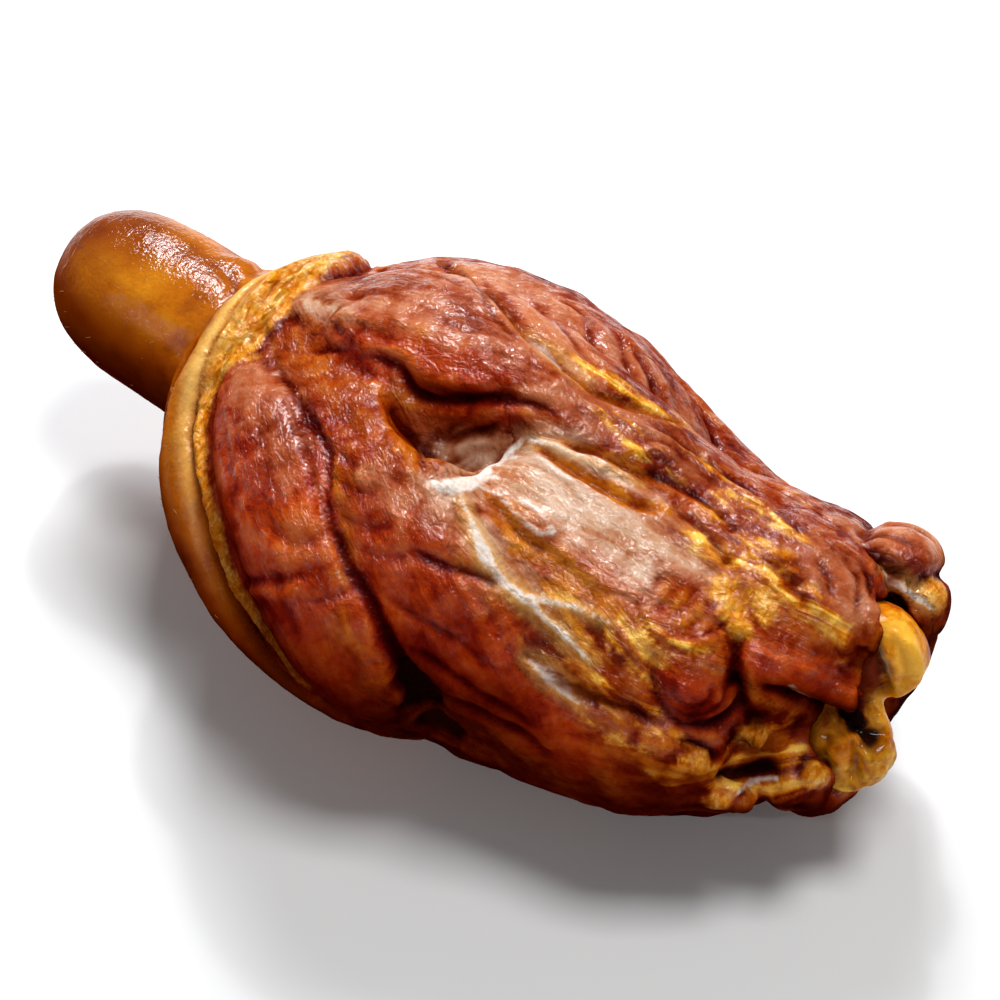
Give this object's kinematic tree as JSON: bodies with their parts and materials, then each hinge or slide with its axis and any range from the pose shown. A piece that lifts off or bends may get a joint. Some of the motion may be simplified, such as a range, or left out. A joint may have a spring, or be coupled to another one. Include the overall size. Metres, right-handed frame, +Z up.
{
  "type": "smoked pork knuckle",
  "caption": "Smoked pork knuckle: a skin-covered shank, a rolled edge of rind, overlapping bare muscles and the waxy joint end of the leg bone.",
  "frame": {"origin": "centre of the knuckle's outline, at the level it rests on", "axes": "+X along the leg, from the shank to the joint; +Y across, to the side away from the rolled-back rind; +Z up"},
  "size_m": [0.2442, 0.1322, 0.1011],
  "materials": {
    "smoked_meat": "moist smoked meat, red-brown lean with amber rind and yellow fat, softly shining",
    "joint_bone": "waxy amber cartilage over bone, softly shining"
  },
  "bodies": {
    "root": {"smoked_meat": "smoked_meat", "joint_bone": "joint_bone"}
  },
  "joints": []
}
